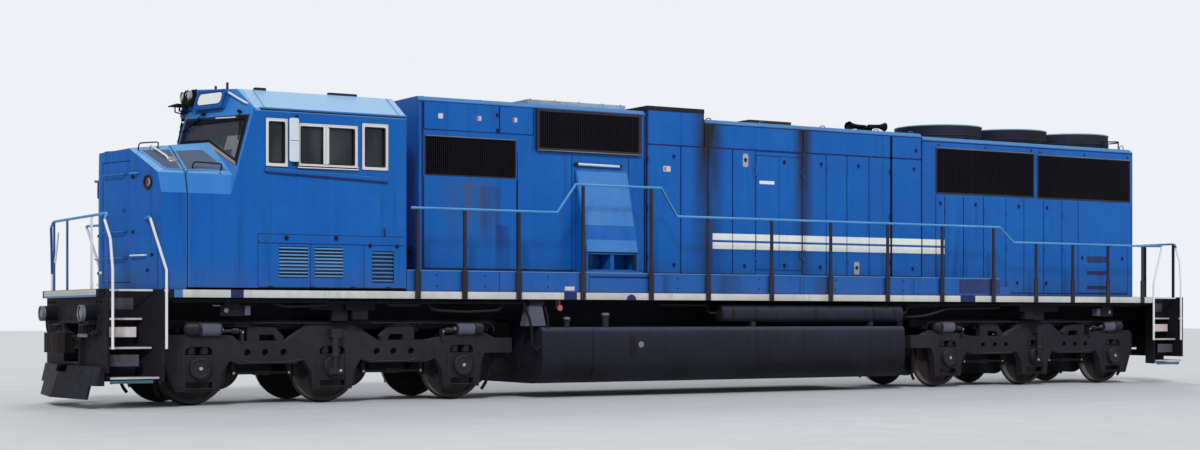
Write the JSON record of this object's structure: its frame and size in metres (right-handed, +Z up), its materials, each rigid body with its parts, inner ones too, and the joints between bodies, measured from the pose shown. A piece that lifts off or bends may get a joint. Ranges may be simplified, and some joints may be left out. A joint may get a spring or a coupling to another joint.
{
  "type": "six-axle diesel-electric locomotive",
  "caption": "Heavy freight diesel locomotive with a wide nose, an isolated cab, a long hood with side grilles and roof fans, a slung fuel tank and two swivelling trucks.",
  "frame": {"origin": "middle of the length and width, at the lowest point of the wheel flanges", "axes": "+Z up, front of the locomotive towards -X, its left side towards -Y"},
  "size_m": [21.692, 3.124, 4.7649],
  "materials": {
    "blue_paint": "weathered gloss enamel",
    "roof_paint": "faded enamel",
    "frame_paint": "grimy black enamel",
    "cast_frame": "grimy cast steel",
    "wheel_steel": "rolled steel with brown grime",
    "motor_paint": "oily dark enamel",
    "coupler_steel": "rusty cast steel",
    "tank_paint": "dusty black enamel",
    "grille_paint": "dark enamel",
    "rail_paint": "worn enamel",
    "window_metal": "satin frames",
    "pane": "tinted safety glass",
    "seat_cloth": "dark upholstery",
    "desk_paint": "satin grey enamel",
    "fan_metal": "dusty cast aluminium",
    "lamp_metal": "worn enamel with lamps",
    "board_face": "white translucent plastic",
    "engine_paint": "grey enamel",
    "stack_steel": "sooty steel"
  },
  "bodies": {
    "carbody": {"front_pilot": "frame_paint", "rear_pilot": "frame_paint", "underframe": "frame_paint", "fuel_tank": "tank_paint", "air_reservoirs": "tank_paint", "snow_plow": "frame_paint", "walkways": "blue_paint", "nose": "blue_paint", "cab_roof": "roof_paint", "cab_left_side": "blue_paint", "cab_right_side": "blue_paint", "cab_floor": "desk_paint", "cab_rear": "blue_paint", "cab_front": "blue_paint", "window_frames": "window_metal", "cab_glass": "pane", "crew_seats": "seat_cloth", "control_desks": "desk_paint", "hood_front": "blue_paint", "side_grilles": "grille_paint", "engine_hood_left": "blue_paint", "engine_hood_right": "blue_paint", "engine_hood_roof": "roof_paint", "radiator_hood": "blue_paint", "fan_housings": "grille_paint", "exhaust_stack": "stack_steel", "air_horn": "lamp_metal", "headlights": "lamp_metal", "number_boards": "board_face", "side_handrails": "rail_paint", "end_handrails": "rail_paint", "engine": "engine_paint"},
    "wheelset_1": {"wheelset_1": "wheel_steel"},
    "wheelset_2": {"wheelset_2": "wheel_steel"},
    "wheelset_3": {"wheelset_3": "wheel_steel"},
    "wheelset_4": {"wheelset_4": "wheel_steel"},
    "wheelset_5": {"wheelset_5": "wheel_steel"},
    "wheelset_6": {"wheelset_6": "wheel_steel"},
    "front_truck": {"front_truck_frame": "cast_frame", "front_axle_boxes": "cast_frame", "front_traction_motors": "motor_paint"},
    "front_coupler_body": {"front_coupler": "coupler_steel"},
    "rear_truck": {"rear_truck_frame": "cast_frame", "rear_axle_boxes": "cast_frame", "rear_traction_motors": "motor_paint"},
    "rear_coupler_body": {"rear_coupler": "coupler_steel"},
    "nose_door_leaf": {"nose_door": "blue_paint"},
    "rear_door_leaf": {"cab_rear_door": "blue_paint"},
    "hood_leaf_left_front": {"hood_door_left_front": "blue_paint"},
    "hood_leaf_left_rear": {"hood_door_left_rear": "blue_paint"},
    "hood_leaf_right_front": {"hood_door_right_front": "blue_paint"},
    "hood_leaf_right_rear": {"hood_door_right_rear": "blue_paint"},
    "fan_rotor_1": {"radiator_fan_1": "fan_metal"},
    "fan_rotor_2": {"radiator_fan_2": "fan_metal"},
    "fan_rotor_3": {"radiator_fan_3": "fan_metal"}
  },
  "joints": [
    {"name": "wheelset_1_roll", "type": "hinge", "parent": "front_truck", "child": "wheelset_1", "pos_m": [-9.017, 0, 0.533], "axis": [0, 1, 0], "continuous": true},
    {"name": "wheelset_2_roll", "type": "hinge", "parent": "front_truck", "child": "wheelset_2", "pos_m": [-6.995, 0, 0.533], "axis": [0, 1, 0], "continuous": true},
    {"name": "wheelset_3_roll", "type": "hinge", "parent": "front_truck", "child": "wheelset_3", "pos_m": [-4.877, 0, 0.533], "axis": [0, 1, 0], "continuous": true},
    {"name": "wheelset_4_roll", "type": "hinge", "parent": "rear_truck", "child": "wheelset_4", "pos_m": [4.877, 0, 0.533], "axis": [0, 1, 0], "continuous": true},
    {"name": "wheelset_5_roll", "type": "hinge", "parent": "rear_truck", "child": "wheelset_5", "pos_m": [6.995, 0, 0.533], "axis": [0, 1, 0], "continuous": true},
    {"name": "wheelset_6_roll", "type": "hinge", "parent": "rear_truck", "child": "wheelset_6", "pos_m": [9.017, 0, 0.533], "axis": [0, 1, 0], "continuous": true},
    {"name": "front_truck_swivel", "type": "hinge", "parent": "carbody", "child": "front_truck", "pos_m": [-6.947, 0, 1.195], "axis": [0, 0, 1], "range_deg": [-5, 5]},
    {"name": "front_coupler_swing", "type": "hinge", "parent": "carbody", "child": "front_coupler_body", "pos_m": [-10.08, 0, 0.901], "axis": [0, 0, 1], "range_deg": [-8, 8]},
    {"name": "rear_truck_swivel", "type": "hinge", "parent": "carbody", "child": "rear_truck", "pos_m": [6.947, 0, 1.195], "axis": [0, 0, 1], "range_deg": [-5, 5]},
    {"name": "rear_coupler_swing", "type": "hinge", "parent": "carbody", "child": "rear_coupler_body", "pos_m": [10.08, 0, 0.901], "axis": [0, 0, 1], "range_deg": [-8, 8]},
    {"name": "nose_door_swing", "type": "hinge", "parent": "carbody", "child": "nose_door_leaf", "pos_m": [-9.83381, -0.74071, 2.6], "axis": [0, 0, -1], "range_deg": [0, 85]},
    {"name": "rear_door_swing", "type": "hinge", "parent": "carbody", "child": "rear_door_leaf", "pos_m": [-5.986, -0.985, 2.95], "axis": [0, 0, 1], "range_deg": [0, 90]},
    {"name": "hood_left_front_swing", "type": "hinge", "parent": "carbody", "child": "hood_leaf_left_front", "pos_m": [0.734, -0.966, 3.025], "axis": [0, 0, -1], "range_deg": [0, 100]},
    {"name": "hood_left_rear_swing", "type": "hinge", "parent": "carbody", "child": "hood_leaf_left_rear", "pos_m": [1.71, -0.966, 3.025], "axis": [0, 0, 1], "range_deg": [0, 100]},
    {"name": "hood_right_front_swing", "type": "hinge", "parent": "carbody", "child": "hood_leaf_right_front", "pos_m": [0.734, 0.966, 3.025], "axis": [0, 0, 1], "range_deg": [0, 100]},
    {"name": "hood_right_rear_swing", "type": "hinge", "parent": "carbody", "child": "hood_leaf_right_rear", "pos_m": [1.71, 0.966, 3.025], "axis": [0, 0, -1], "range_deg": [0, 100]},
    {"name": "radiator_fan_1_spin", "type": "hinge", "parent": "carbody", "child": "fan_rotor_1", "pos_m": [5.6, 0, 4.62], "axis": [0, 0, 1], "continuous": true},
    {"name": "radiator_fan_2_spin", "type": "hinge", "parent": "carbody", "child": "fan_rotor_2", "pos_m": [7.24, 0, 4.62], "axis": [0, 0, 1], "continuous": true},
    {"name": "radiator_fan_3_spin", "type": "hinge", "parent": "carbody", "child": "fan_rotor_3", "pos_m": [8.88, 0, 4.62], "axis": [0, 0, 1], "continuous": true}
  ]
}
